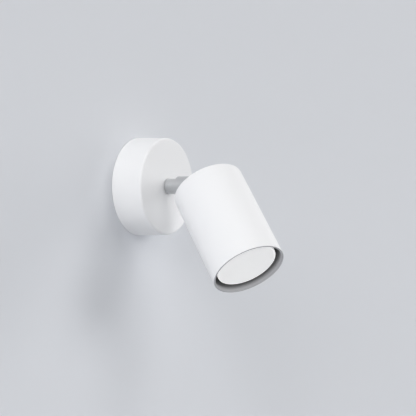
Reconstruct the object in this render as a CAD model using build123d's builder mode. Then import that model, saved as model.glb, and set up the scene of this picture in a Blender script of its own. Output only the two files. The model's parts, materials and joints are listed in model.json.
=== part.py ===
"""Pivoting spotlight wall light, in millimetres.

The origin is the centre of the mounting face, on the wall. +Z is up and -Y points out of the wall.
A round rose hides a pressed wall plate and the terminals. A hollow stem swivels in the face of the
rose and carries a fork. The tongue of the head tilts in the fork, and the head holds a twist-lock
lamp of 50 mm diameter.
"""

from build123d import *
from math import cos, radians, sin, sqrt
import os

# ---------------------------------------------------------------- pose at rest
swivel_angle = -18.5  # about the axis of the rose, 0 with the head hanging straight down
bend_angle = 53.4  # between the axis of the rose and the axis of the head

# ---------------------------------------------------------------- fits
running_clearance = 0.08  # radial, round a piece that turns
seat_clearance = 0.05  # round a piece that is fixed
thrust_gap = 0.05  # between flat faces that turn on each other
swing_gap = 0.4  # round a piece that swings past another
sheet_lift = 0.05  # between a pressed sheet and the moulding it carries
pick_tolerance = 0.01  # for choosing edges by their place

# ---------------------------------------------------------------- rose
rose_diameter = 83.3  # at the wall
rose_face_diameter = 81.7  # the side tapers a little towards the face
rose_depth = 28.6
rose_wall = 1.5
rose_edge_radius = 2.0
rose_shadow_gap = 0.4  # between the rim and the wall

# ---------------------------------------------------------------- wall plate
plate_diameter = 70.0
plate_thickness = 1.5
wall_slot_spacing = 50.0
wall_slot_width = 4.5
wall_slot_length = 12.0
cable_hole_diameter = 15.0
cable_hole_x = -13.0
cable_hole_z = 14.0
ear_width = 12.0
ear_height = 10.0
ear_gap = 1.0  # between an ear and the inside of the rose
cover_screw_diameter = 3.0
cover_screw_depth = 6.0  # distance of the cover screws from the wall
cover_screw_recess = 0.4
cover_screw_overlap = 1.0  # past the inner face of the ear
cover_screw_key = 1.5  # across the flats of the socket
cover_screw_point = 0.5  # chamfer at the tip

# ---------------------------------------------------------------- terminals
lead_diameter = 1.5
pole_pitch = 10.0
pole_count = 2
block_width = 16.0
block_base_height = 6.0
block_height = 13.0
block_z = -17.0
block_corner_radius = 1.0
tower_gap = 1.6
tower_corner_radius = 1.5
tower_edge_radius = 0.4
barrel_diameter = 4.6
barrel_bore = 2.8
barrel_height = 5.5
barrel_inset = 1.0
terminal_screw_diameter = 2.5
terminal_screw_spacing = 8.0
terminal_screw_rise = 2.2  # above the barrel
terminal_well_diameter = 3.8
block_screw_diameter = 2.5
block_screw_head = 4.4
block_screw_head_height = 1.6
earth_screw_diameter = 4.0
earth_screw_head = 7.0
earth_screw_head_height = 2.4
earth_x = 15.0
earth_z = 13.0
tag_thickness = 0.8
tag_width = 7.6
tag_reach = 9.5  # from the screw to the open end of the crimp
crimp_diameter = 2.8
crimp_length = 4.0
slot_width = 0.6  # screwdriver slots
slot_depth = 0.8
screw_chamfer_share = 0.2  # chamfer of a screw's head, as a share of its height

# ---------------------------------------------------------------- routes of the leads in the rose
lead_count = 3
first_lead_angle = 90  # of the three leads side by side in the stem
barrel_lead_run = 3.5  # straight out of a terminal
barrel_lead_rise = 1.0  # from the terminal's height to the turn into the stem
barrel_lead_bends = [2.5, 3.0]
earth_lead_rise = 6.0
earth_lead_bends = [3.0, 3.0]

# ---------------------------------------------------------------- stem and its washers
spigot_diameter = 10.0
stem_bore = 6.0
stub_diameter = 13.0
face_washer_diameter = 11.4
face_washer_thickness = 0.6
washer_diameter = 17.0
friction_washer_thickness = 1.0
stop_washer_thickness = 1.0
spring_washer_thickness = 1.6
spring_washer_split = 0.8
split_slant = 0.4
nut_flats = 14.0
nut_thickness = 4.0
thread_past_nut = 1.5
stem_flat = 4.3  # from the axis to the flat that keys the stop washer
stop_tab_width = 3.0
stop_tab_reach = 12.0
stop_pip_diameter = 2.0
stop_pip_overlap = 0.8  # how far the pip reaches over the tab

# ---------------------------------------------------------------- knuckle
fork_diameter = 17.0
fork_edge_chamfer = 0.3
fork_root = 3.95  # from the stem's shoulder to the floor of the slot
fork_spigot_diameter = 7.0  # the stem's end that the fork is fixed on
pivot_height = 52.4  # from the wall to the tilt axis
tongue_thickness = 6.0
tongue_clearance = 0.3  # between the tongue's round end and the fork's round end
pivot_washer_thickness = 0.5
pivot_washer_diameter = 14.0
pivot_diameter = 4.0
pivot_head_diameter = 7.0
pivot_head_height = 2.2
pivot_key = 2.5  # across the flats of the socket
pivot_key_depth = 1.3
pivot_nut_flats = 7.0
pivot_nut_height = 2.4
pivot_sink = 0.3  # of the screw's head and the nut below the round of the fork
foot_thickness = 1.3
lock_washer_thickness = 1.0
wire_channel_diameter = 3.6
wire_channel_wall = 0.6
wire_channel_angle = 13.5
wire_channel_reach = 3.0  # past the top of the foot
channel_bend = 5.0  # of the leads, from the channel into the bore

# ---------------------------------------------------------------- head
head_diameter = 60.0
head_length = 86.4
head_wall = 1.5
head_edge_radius = 1.2
head_mouth_radius = 0.4
knuckle_offset = 12.2  # from the axis of the head to the axis of the tongue

# ---------------------------------------------------------------- lamp
lamp_diameter = 50.0
lamp_length = 54.0  # from the face to the ends of the pins
lamp_recess = 4.2
diffuser_thickness = 3.0
diffuser_edge_radius = 1.0
lamp_rim_length = 8.0
lamp_neck_diameter = 27.0
lamp_neck_length = 9.0
lamp_shoulder_diameter = 32.0
lamp_waist_bulge = 1.5
pin_spacing = 10.0
pin_diameter = 3.0
pin_head_diameter = 5.0
pin_head_length = 2.2
pin_length = 7.0
lamp_twist = 35.0  # from locked to free

# ---------------------------------------------------------------- lampholder and its bracket
holder_gap = 0.3  # between the holder and the lamp
holder_diameter = 34.0
holder_width = 22.0
holder_thickness = 9.0
holder_face_plate = 2.5
holder_floor = 1.0
holder_block_length = 17.0
holder_block_width = 20.0
holder_block_height = 8.0
holder_block_corner = 2.0
holder_screw_spacing = 24.0
holder_screw_diameter = 3.0
holder_screw_head = 5.4
holder_screw_head_height = 2.0
holder_screw_sink = 2.4
keyhole_clearance = 0.3
bracket_thickness = 1.2
bracket_diameter = 46.0
arm_width = 12.0
tab_margin = 3.0  # from the screw to the end of its tab
contact_thickness = 0.5
contact_width = 3.6
contact_length = 5.0
contact_gap = 0.05
contact_crimp_diameter = 2.6
head_earth_inset = 12.0  # from the edge of the bracket to the earth screw
head_earth_y = 9.5

# ---------------------------------------------------------------- derived sizes
def rose_side(out):
    """The radius of the rose's side at a distance from the wall."""
    taper = (rose_diameter - rose_face_diameter) / 2 / (rose_depth - rose_shadow_gap)
    return rose_diameter / 2 - taper * (out - rose_shadow_gap)


rose_radius = rose_diameter / 2
rose_face_radius = rose_face_diameter / 2
rose_inner_face = rose_depth - rose_wall
spigot_radius = spigot_diameter / 2
fork_radius = fork_diameter / 2
fork_spigot_radius = fork_spigot_diameter / 2
lead_radius = lead_diameter / 2
ear_face = rose_side(ear_height) - rose_wall - ear_gap
ear_corner_radius = ear_width / 4
ear_bend_radius = 0.9 * plate_thickness
friction_washer_top = rose_inner_face - thrust_gap
stop_washer_top = friction_washer_top - friction_washer_thickness
spring_washer_top = stop_washer_top - stop_washer_thickness
nut_top = spring_washer_top - spring_washer_thickness
spigot_end = nut_top - nut_thickness - thread_past_nut
stub_base = rose_depth + thrust_gap + face_washer_thickness
slot_floor = pivot_height - fork_radius - swing_gap
stub_length = slot_floor - fork_root - stub_base
fork_base = stub_base + stub_length
tongue_radius = fork_radius - tongue_clearance
fork_slot_width = tongue_thickness + 2 * (pivot_washer_thickness + 2 * thrust_gap)
foot_base = fork_radius + swing_gap
pivot_to_cap = foot_base + foot_thickness
head_radius = head_diameter / 2
bracket_top = head_wall + bracket_thickness
tongue_nut_base = bracket_top + lock_washer_thickness
tongue_spigot_end = tongue_nut_base + nut_thickness + thread_past_nut
lamp_front = head_length - lamp_recess
lamp_base = lamp_front - lamp_length + pin_length
pin_end = lamp_base - pin_length
holder_face = lamp_base - holder_gap
holder_seat = holder_face - holder_thickness
holder_rear = holder_seat - holder_block_height
cavity_floor = holder_seat + holder_floor
contact_top = pin_end - contact_gap
contact_y = pin_spacing / 2 + contact_length / 2 - contact_thickness
head_earth_x = bracket_diameter / 2 - head_earth_inset

# ---------------------------------------------------------------- planes
swivel_turn = radians(swivel_angle)
bend_turn = radians(bend_angle)
wall_frame = Plane(origin=(0, 0, 0), x_dir=(1, 0, 0), z_dir=(0, -1, 0))
swivel_frame = Plane(origin=(0, 0, 0), x_dir=(cos(swivel_turn), 0, sin(swivel_turn)), z_dir=(0, -1, 0))
head_direction = swivel_frame.z_dir * cos(bend_turn) - swivel_frame.y_dir * sin(bend_turn)
pivot_point = swivel_frame.from_local_coords((0, 0, pivot_height))
tilt_frame = Plane(origin=pivot_point, x_dir=swivel_frame.x_dir, z_dir=head_direction)
cap_origin = tilt_frame.from_local_coords((0, knuckle_offset, pivot_to_cap))
cap_frame = Plane(origin=cap_origin, x_dir=tilt_frame.x_dir, z_dir=tilt_frame.z_dir)
tongue_frame = tilt_frame.offset(pivot_to_cap)
fork_side = Plane(origin=pivot_point, x_dir=swivel_frame.z_dir, z_dir=swivel_frame.x_dir)
tongue_side = Plane(origin=pivot_point, x_dir=tilt_frame.z_dir, z_dir=tilt_frame.x_dir)


def section_of(frame):
    """The half section of a turned piece: local x is the radius, local y runs along the axis."""
    return Plane(origin=frame.origin, x_dir=frame.x_dir, z_dir=-frame.y_dir)


def axis_of(frame):
    """The axis that a frame's pieces are turned about."""
    return Axis(frame.origin, frame.z_dir)


def polar(radius, angle):
    """The x and y of a point on a circle, with the angle in degrees."""
    return radius * cos(radians(angle)), radius * sin(radians(angle))


def place(frame, x, y, z):
    """A frame with the same directions whose origin is a point of the given frame."""
    return Plane(origin=frame.from_local_coords((x, y, z)), x_dir=frame.x_dir, z_dir=frame.z_dir)


def across(frame, z):
    """A plane on a frame's axis at height z that faces along the frame's y direction."""
    return Plane(origin=frame.from_local_coords((0, 0, z)), x_dir=frame.x_dir, z_dir=frame.y_dir)


def ring(frame, diameter, hole_diameter, thickness):
    """A plain washer that stands on the frame."""
    with BuildPart() as washer:
        with BuildSketch(frame):
            Circle(diameter / 2)
            Circle(hole_diameter / 2, mode=Mode.SUBTRACT)
        extrude(amount=thickness)
    return washer


def hex_nut(frame, flats, hole_diameter, thickness):
    """A hexagon nut with the corners of both faces turned off."""
    corner_radius = flats / sqrt(3)
    with BuildPart() as nut:
        with BuildSketch(frame):
            RegularPolygon(flats / 2, side_count=6, major_radius=False)
        extrude(amount=thickness)
        with BuildSketch(frame):
            Circle(corner_radius)
        extrude(amount=thickness, mode=Mode.INTERSECT)
        with BuildSketch(section_of(frame)):
            with BuildLine():
                Polyline(
                    (0, 0),
                    (flats / 2, 0),
                    (corner_radius, (corner_radius - flats / 2) / 2),
                    (corner_radius, thickness - (corner_radius - flats / 2) / 2),
                    (flats / 2, thickness),
                    (0, thickness),
                    close=True,
                )
            make_face()
        revolve(axis=axis_of(frame), mode=Mode.INTERSECT)
        with BuildSketch(frame):
            Circle(hole_diameter / 2)
        extrude(amount=thickness, mode=Mode.SUBTRACT)
    return nut


def slotted_screw(frame, diameter, length, head_diameter, head_height):
    """A cheese-head screw: the head stands on the frame and the shank runs the other way."""
    with BuildPart() as screw:
        with BuildSketch(frame):
            Circle(head_diameter / 2)
        extrude(amount=head_height)
        head_edge = screw.edges().filter_by(GeomType.CIRCLE).sort_by(axis_of(frame))[-1]
        chamfer(head_edge, screw_chamfer_share * head_height)
        with BuildSketch(frame):
            Circle(diameter / 2)
        extrude(amount=-length)
        with BuildSketch(frame.offset(head_height)):
            Rectangle(slot_width, head_diameter)
        extrude(amount=-slot_depth, mode=Mode.SUBTRACT)
    return screw


def ring_tag(frame):
    """A crimped ring tag round a screw at the frame's origin, with its crimp along local x."""
    crimp_start = tag_reach - crimp_length
    with BuildPart() as tag:
        with BuildSketch(frame):
            Circle(tag_width / 2)
            with Locations((crimp_start / 2, 0)):
                Rectangle(crimp_start + crimp_length / 2, crimp_diameter)
            Circle(earth_screw_diameter / 2 + seat_clearance, mode=Mode.SUBTRACT)
        extrude(amount=tag_thickness)
        crimp_mouth = frame.from_local_coords((crimp_start, 0, crimp_diameter / 2))
        with BuildSketch(Plane(origin=crimp_mouth, x_dir=frame.y_dir, z_dir=frame.x_dir)):
            Circle(crimp_diameter / 2)
        extrude(amount=crimp_length)
        with BuildSketch(Plane(origin=crimp_mouth, x_dir=frame.y_dir, z_dir=frame.x_dir)):
            Circle(lead_radius + seat_clearance)
        extrude(amount=crimp_length, mode=Mode.SUBTRACT)
    return tag


def lead(points, radii):
    """One insulated wire along straight runs that are joined by arcs."""
    with BuildPart() as wire:
        with BuildLine() as route:
            FilletPolyline(*points, radius=radii)
        with BuildSketch(Plane(origin=route.line @ 0, z_dir=route.line % 0)):
            Circle(lead_radius)
        sweep()
    return wire


# ---------------------------------------------------------------- wall plate
with BuildPart() as wall_plate:
    with BuildSketch(wall_frame):
        Circle(plate_diameter / 2)
        Rectangle(ear_width, 2 * ear_face)
        with Locations((-wall_slot_spacing / 2, 0), (wall_slot_spacing / 2, 0)):
            SlotOverall(wall_slot_length, wall_slot_width, mode=Mode.SUBTRACT)
        with Locations((cable_hole_x, cable_hole_z)):
            Circle(cable_hole_diameter / 2, mode=Mode.SUBTRACT)
        with Locations((earth_x, earth_z)):
            Circle(earth_screw_diameter / 2 + seat_clearance, mode=Mode.SUBTRACT)
        with Locations((0, block_z)):
            Circle(block_screw_diameter / 2 + seat_clearance, mode=Mode.SUBTRACT)
    extrude(amount=plate_thickness)
    with BuildSketch(wall_frame):
        with GridLocations(0, 2 * ear_face - plate_thickness, 1, 2):
            Rectangle(ear_width, plate_thickness)
    extrude(amount=ear_height)
    # rounded corners of the ears, the bends at their feet and the tapped holes
    ear_corners = wall_plate.edges().filter_by(Axis.Z).group_by(Axis.Y)[0]
    fillet(ear_corners, ear_corner_radius)
    ear_bends = wall_plate.edges().filter_by(Axis.X).group_by(Axis.Y)[-1]
    fillet(ear_bends, ear_bend_radius)
    with BuildSketch(across(wall_frame, cover_screw_depth)):
        Circle(cover_screw_diameter / 2 + seat_clearance)
    extrude(amount=rose_radius, both=True, mode=Mode.SUBTRACT)

# ---------------------------------------------------------------- rose
with BuildPart() as rose_cover:
    with BuildSketch(section_of(wall_frame)):
        with BuildLine():
            Polyline(
                (spigot_radius + running_clearance, rose_inner_face),
                (spigot_radius + running_clearance, rose_depth),
                (rose_face_radius, rose_depth),
                (rose_radius, rose_shadow_gap),
                (rose_radius - rose_wall, rose_shadow_gap),
                (rose_side(rose_inner_face) - rose_wall, rose_inner_face),
                close=True,
            )
        make_face()
    revolve(axis=axis_of(wall_frame))
    rims = rose_cover.edges().filter_by(GeomType.CIRCLE).group_by(Axis.Y)
    fillet(rims[0].sort_by(SortBy.RADIUS)[-1], rose_edge_radius)
    inner_edges = rose_cover.edges().filter_by(GeomType.CIRCLE).filter_by_position(
        Axis.Y, -rose_inner_face - pick_tolerance, -rose_inner_face + pick_tolerance
    )
    fillet(inner_edges.sort_by(SortBy.RADIUS)[-1], rose_edge_radius / 2)
    # the pip that stops the swivel, at the top of the inner face
    with BuildSketch(wall_frame.offset(rose_inner_face)):
        with Locations((0, stop_tab_reach - stop_pip_diameter / 2)):
            Circle(stop_pip_diameter / 2)
    extrude(amount=-(rose_inner_face - stop_washer_top + stop_pip_overlap))
    with BuildSketch(across(wall_frame, cover_screw_depth)):
        Circle(cover_screw_diameter / 2 + seat_clearance)
    extrude(amount=rose_radius, both=True, mode=Mode.SUBTRACT)

# ---------------------------------------------------------------- cover screws
cover_screw_tip = ear_face - plate_thickness - cover_screw_overlap
cover_screw_end = rose_side(cover_screw_depth) - cover_screw_recess
screw_axis = Plane(origin=(0, -cover_screw_depth, 0), x_dir=(1, 0, 0), z_dir=(0, 0, 1))
with BuildPart() as cover_screws:
    with BuildSketch(screw_axis.offset(cover_screw_tip)):
        Circle(cover_screw_diameter / 2)
    extrude(amount=cover_screw_end - cover_screw_tip)
    chamfer(cover_screws.edges().filter_by(GeomType.CIRCLE).sort_by(Axis.Z)[0], cover_screw_point)
    with BuildSketch(screw_axis.offset(cover_screw_end)):
        RegularPolygon(cover_screw_key / 2, side_count=6, major_radius=False)
    extrude(amount=-cover_screw_key, mode=Mode.SUBTRACT)
    mirror(about=Plane.XY)

# ---------------------------------------------------------------- terminal block
block_frame = place(wall_frame, 0, block_z, plate_thickness)
barrel_frame = across(block_frame, barrel_height)
tower_height = block_height - block_base_height
with BuildPart() as terminal_block:
    with BuildSketch(block_frame):
        RectangleRounded(pole_count * pole_pitch, block_width, block_corner_radius)
    extrude(amount=block_base_height)
    with BuildSketch(block_frame.offset(block_base_height)):
        with GridLocations(pole_pitch, 0, pole_count, 1):
            RectangleRounded(pole_pitch - tower_gap, block_width - tower_gap, tower_corner_radius)
    extrude(amount=tower_height)
    fillet(terminal_block.edges().group_by(Axis.Y)[0], tower_edge_radius)
    with BuildSketch(barrel_frame):
        with GridLocations(pole_pitch, 0, pole_count, 1):
            Circle(barrel_diameter / 2 + seat_clearance)
    extrude(amount=block_width, both=True, mode=Mode.SUBTRACT)
    with BuildSketch(block_frame.offset(block_height)):
        with GridLocations(pole_pitch, terminal_screw_spacing, pole_count, 2):
            Circle(terminal_well_diameter / 2)
    extrude(amount=-(block_height - barrel_height), mode=Mode.SUBTRACT)
    with BuildSketch(block_frame.offset(block_height)):
        Circle(block_screw_head / 2 + seat_clearance)
    extrude(amount=-tower_height, mode=Mode.SUBTRACT)
    with BuildSketch(block_frame):
        Circle(block_screw_diameter / 2 + seat_clearance)
    extrude(amount=block_base_height, mode=Mode.SUBTRACT)

barrel_length = block_width - 2 * barrel_inset
with BuildPart() as terminal_barrels:
    with BuildSketch(barrel_frame):
        with GridLocations(pole_pitch, 0, pole_count, 1):
            Circle(barrel_diameter / 2)
            Circle(barrel_bore / 2, mode=Mode.SUBTRACT)
    extrude(amount=barrel_length / 2, both=True)
    with BuildSketch(block_frame.offset(barrel_height)):
        with GridLocations(pole_pitch, terminal_screw_spacing, pole_count, 2):
            Circle(terminal_screw_diameter / 2 + seat_clearance)
    extrude(amount=barrel_diameter, mode=Mode.SUBTRACT)

terminal_screw_tip = barrel_height + lead_radius + seat_clearance
terminal_screw_top = barrel_height + barrel_diameter / 2 + terminal_screw_rise
with BuildPart() as terminal_screws:
    with BuildSketch(block_frame.offset(terminal_screw_tip)):
        with GridLocations(pole_pitch, terminal_screw_spacing, pole_count, 2):
            Circle(terminal_screw_diameter / 2)
    extrude(amount=terminal_screw_top - terminal_screw_tip)
    with BuildSketch(block_frame.offset(terminal_screw_top)):
        with GridLocations(pole_pitch, terminal_screw_spacing, pole_count, 2):
            Rectangle(slot_width, terminal_screw_diameter)
    extrude(amount=-slot_depth, mode=Mode.SUBTRACT)

block_screw = slotted_screw(
    block_frame.offset(block_base_height),
    block_screw_diameter,
    block_base_height + plate_thickness,
    block_screw_head,
    block_screw_head_height,
)

# ---------------------------------------------------------------- earth terminal of the rose
earth_frame = place(wall_frame, earth_x, earth_z, plate_thickness)
earth_tag_frame = Plane(origin=earth_frame.origin, x_dir=(-1, 0, 0), z_dir=(0, -1, 0))
earth_tag = ring_tag(earth_tag_frame)
earth_screw = slotted_screw(
    earth_frame.offset(tag_thickness),
    earth_screw_diameter,
    plate_thickness + tag_thickness,
    earth_screw_head,
    earth_screw_head_height,
)

# ---------------------------------------------------------------- leads inside the rose
lead_ring = lead_diameter / sqrt(3) + seat_clearance  # three leads side by side round one centre
lead_gap = lead_diameter / 3
rose_lead_end = spigot_end - lead_diameter - lead_gap
pole_x = pole_pitch / 2
barrel_mouth = block_z + barrel_length / 2
barrel_out = plate_thickness + barrel_height
lead_spots = [polar(lead_ring, first_lead_angle + turn * 360 / lead_count) for turn in (1, 2, 0)]


def rose_point(x, z, out):
    """A point inside the rose, by its place on the wall and its distance from it."""
    return wall_frame.from_local_coords((x, z, out))


def pole_lead(pole, spot):
    """The wire from one pole of the block to its place behind the stem."""
    points = [
        rose_point(pole, barrel_mouth - barrel_length / 4, barrel_out),
        rose_point(pole, barrel_mouth + barrel_lead_run, barrel_out),
        rose_point(spot[0], spot[1], barrel_out + barrel_lead_rise),
        rose_point(spot[0], spot[1], rose_lead_end),
    ]
    return lead(points, barrel_lead_bends)


crimp_out = plate_thickness + crimp_diameter / 2
rose_wires = [pole_lead(-pole_x, lead_spots[0]), pole_lead(pole_x, lead_spots[1])]
earth_points = [
    rose_point(earth_x - tag_reach + crimp_length / 2, earth_z, crimp_out),
    rose_point(lead_spots[2][0], earth_z, crimp_out),
    rose_point(lead_spots[2][0], lead_spots[2][1], crimp_out + earth_lead_rise),
    rose_point(lead_spots[2][0], lead_spots[2][1], rose_lead_end),
]
rose_wires.append(lead(earth_points, earth_lead_bends))
with BuildPart() as rose_leads:
    for wire in rose_wires:
        add(wire.part)

# ---------------------------------------------------------------- stem
with BuildPart() as swivel_stem:
    with BuildSketch(section_of(swivel_frame)):
        with BuildLine():
            Polyline(
                (stem_bore / 2, spigot_end),
                (spigot_radius, spigot_end),
                (spigot_radius, stub_base),
                (stub_diameter / 2, stub_base),
                (stub_diameter / 2, fork_base),
                (fork_spigot_radius, fork_base),
                (fork_spigot_radius, slot_floor),
                (stem_bore / 2, slot_floor),
                close=True,
            )
        make_face()
    revolve(axis=axis_of(swivel_frame))
    with BuildSketch(swivel_frame.offset(spigot_end)):
        with Locations((0, -stem_flat - spigot_radius)):
            Rectangle(spigot_diameter, spigot_diameter)
    extrude(amount=stop_washer_top - spigot_end, mode=Mode.SUBTRACT)

face_washer = ring(
    swivel_frame.offset(rose_depth + thrust_gap),
    face_washer_diameter,
    spigot_diameter + 2 * seat_clearance,
    face_washer_thickness,
)
friction_washer = ring(
    swivel_frame.offset(stop_washer_top),
    washer_diameter,
    spigot_diameter + 2 * seat_clearance,
    friction_washer_thickness,
)

# the stop washer: a tab that points down with the head hanging, and a flat in its hole
washer_hole = spigot_radius + seat_clearance
with BuildPart() as stop_washer:
    with BuildSketch(swivel_frame.offset(spring_washer_top)):
        Circle(washer_diameter / 2)
        with Locations((0, -stop_tab_reach / 2)):
            Rectangle(stop_tab_width, stop_tab_reach)
        Circle(washer_hole, mode=Mode.SUBTRACT)
    extrude(amount=stop_washer_thickness)
    with BuildSketch(swivel_frame.offset(spring_washer_top)):
        Circle(washer_hole)
        with Locations((0, -stem_flat - seat_clearance - washer_hole)):
            Rectangle(2 * washer_hole, 2 * washer_hole, mode=Mode.INTERSECT)
    extrude(amount=stop_washer_thickness)

with BuildPart() as spring_washer:
    with BuildSketch(swivel_frame.offset(nut_top)):
        Circle(washer_diameter / 2)
        Circle(washer_hole, mode=Mode.SUBTRACT)
    extrude(amount=spring_washer_thickness)
    # the slanted split of the ring
    split_height = nut_top + spring_washer_thickness / 2
    split_centre = swivel_frame.from_local_coords((washer_diameter / 2, 0, split_height))
    split_along = swivel_frame.z_dir + swivel_frame.y_dir * split_slant
    with BuildSketch(Plane(origin=split_centre, x_dir=split_along, z_dir=swivel_frame.x_dir)):
        Rectangle(3 * spring_washer_thickness, spring_washer_split)
    extrude(amount=washer_diameter / 2, both=True, mode=Mode.SUBTRACT)
    add(spring_washer.part.solids().sort_by(SortBy.VOLUME)[-1], mode=Mode.INTERSECT)

swivel_nut = hex_nut(
    swivel_frame.offset(nut_top - nut_thickness),
    nut_flats,
    spigot_diameter + 2 * seat_clearance,
    nut_thickness,
)

with BuildPart() as stem_leads:
    with BuildSketch(swivel_frame.offset(spigot_end - lead_diameter)):
        with PolarLocations(lead_ring, lead_count, start_angle=first_lead_angle):
            Circle(lead_radius)
    extrude(amount=slot_floor - spigot_end + lead_diameter)

# ---------------------------------------------------------------- fork
pivot_head_top = fork_radius - pivot_sink
pivot_head_seat = pivot_head_top - pivot_head_height
pivot_nut_seat = pivot_head_top - pivot_nut_height
with BuildPart() as knuckle_fork:
    with BuildSketch(swivel_frame.offset(fork_base)):
        Circle(fork_radius)
    extrude(amount=pivot_height + fork_radius - fork_base)
    chamfer(knuckle_fork.edges().filter_by(GeomType.CIRCLE).sort_by(Axis.Y)[-1], fork_edge_chamfer)
    # the round end, about the tilt axis
    with BuildSketch(fork_side):
        Circle(fork_radius)
        with Locations(((fork_base - pivot_height) / 2, 0)):
            Rectangle(pivot_height - fork_base, fork_diameter)
    extrude(amount=fork_radius, both=True, mode=Mode.INTERSECT)
    with BuildSketch(swivel_frame.offset(slot_floor)):
        Rectangle(fork_slot_width, 2 * fork_diameter)
    extrude(amount=2 * fork_diameter, mode=Mode.SUBTRACT)
    with BuildSketch(swivel_frame.offset(fork_base)):
        Circle(fork_spigot_radius + seat_clearance)
    extrude(amount=slot_floor - fork_base, mode=Mode.SUBTRACT)
    with BuildSketch(fork_side):
        Circle(pivot_diameter / 2 + seat_clearance)
    extrude(amount=fork_radius, both=True, mode=Mode.SUBTRACT)
    with BuildSketch(fork_side.offset(-pivot_head_seat)):
        Circle(pivot_head_diameter / 2 + seat_clearance)
    extrude(amount=-fork_radius, mode=Mode.SUBTRACT)
    with BuildSketch(fork_side.offset(pivot_nut_seat)):
        RegularPolygon(pivot_nut_flats / 2 + seat_clearance, side_count=6, major_radius=False)
    extrude(amount=fork_radius, mode=Mode.SUBTRACT)

pivot_screw_axis = Plane(origin=pivot_point, x_dir=swivel_frame.z_dir, z_dir=-swivel_frame.x_dir)
with BuildPart() as pivot_screw:
    with BuildSketch(pivot_screw_axis.offset(-pivot_head_top)):
        Circle(pivot_diameter / 2)
    extrude(amount=pivot_head_top + pivot_head_seat)
    with BuildSketch(pivot_screw_axis.offset(pivot_head_seat)):
        Circle(pivot_head_diameter / 2)
    extrude(amount=pivot_head_height)
    with BuildSketch(pivot_screw_axis.offset(pivot_head_top)):
        RegularPolygon(pivot_key / 2, side_count=6, major_radius=False)
    extrude(amount=-pivot_key_depth, mode=Mode.SUBTRACT)

pivot_nut = hex_nut(
    fork_side.offset(pivot_nut_seat), pivot_nut_flats, pivot_diameter + 2 * seat_clearance, pivot_nut_height
)

pivot_washer_start = tongue_thickness / 2 + thrust_gap
with BuildPart() as pivot_washers:
    with BuildSketch(fork_side.offset(pivot_washer_start)):
        Circle(pivot_washer_diameter / 2)
        Circle(pivot_diameter / 2 + seat_clearance, mode=Mode.SUBTRACT)
    extrude(amount=pivot_washer_thickness)
    mirror(about=fork_side)

# ---------------------------------------------------------------- tongue
channel_radius = wire_channel_diameter / 2
channel_turn = radians(wire_channel_angle)
channel_offset = pivot_diameter / 2 + running_clearance + wire_channel_wall + channel_radius
channel_along = (cos(channel_turn), -sin(channel_turn))  # towards the head
channel_middle = (channel_offset * sin(channel_turn), channel_offset * cos(channel_turn))
channel_mouth = sqrt(tongue_radius**2 - channel_offset**2)
channel_depth = (pivot_to_cap + wire_channel_reach - channel_middle[0]) / cos(channel_turn)


def channel_point(distance, aside=0.0, lift=0.0):
    """A point on the wire channel: the distance from the point nearest the pivot, then two offsets."""
    along = channel_middle[0] + distance * channel_along[0] - lift * channel_along[1]
    across_head = channel_middle[1] + distance * channel_along[1] + lift * channel_along[0]
    return tongue_side.from_local_coords((along, across_head, aside))


with BuildPart() as knuckle_tongue:
    with BuildSketch(tongue_side):
        Circle(tongue_radius)
        with Locations((foot_base / 2, 0)):
            Rectangle(foot_base, 2 * tongue_radius)
    extrude(amount=tongue_thickness / 2, both=True)
    with BuildSketch(tilt_frame.offset(foot_base)):
        Circle(fork_radius)
    extrude(amount=foot_thickness)
    with BuildSketch(tongue_frame):
        Circle(spigot_radius)
    extrude(amount=tongue_spigot_end)
    with BuildSketch(tilt_frame.offset(foot_base)):
        Circle(stem_bore / 2)
    extrude(amount=foot_thickness + tongue_spigot_end, mode=Mode.SUBTRACT)
    with BuildSketch(tongue_side):
        Circle(pivot_diameter / 2 + running_clearance)
    extrude(amount=tongue_thickness, both=True, mode=Mode.SUBTRACT)
    channel_direction = channel_point(1) - channel_point(0)
    with BuildSketch(Plane(origin=channel_point(-2 * channel_mouth), z_dir=channel_direction)):
        Circle(channel_radius)
    extrude(amount=2 * channel_mouth + channel_depth, mode=Mode.SUBTRACT)

lock_washer = ring(
    tongue_frame.offset(bracket_top),
    washer_diameter,
    spigot_diameter + 2 * seat_clearance,
    lock_washer_thickness,
)
tongue_nut = hex_nut(
    tongue_frame.offset(tongue_nut_base), nut_flats, spigot_diameter + 2 * seat_clearance, nut_thickness
)

# ---------------------------------------------------------------- head shell
head_axis = axis_of(cap_frame)
with BuildPart() as head_shell:
    with BuildSketch(cap_frame):
        Circle(head_radius)
    extrude(amount=head_length)
    fillet(head_shell.edges().filter_by(GeomType.CIRCLE).sort_by(head_axis)[0], head_edge_radius)
    with BuildSketch(cap_frame.offset(head_wall)):
        Circle(head_radius - head_wall)
    extrude(amount=head_length, mode=Mode.SUBTRACT)
    fillet(head_shell.edges().filter_by(GeomType.CIRCLE).group_by(head_axis)[-1], head_mouth_radius)
    with BuildSketch(tongue_frame):
        Circle(spigot_radius + seat_clearance)
    extrude(amount=head_wall, mode=Mode.SUBTRACT)

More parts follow.
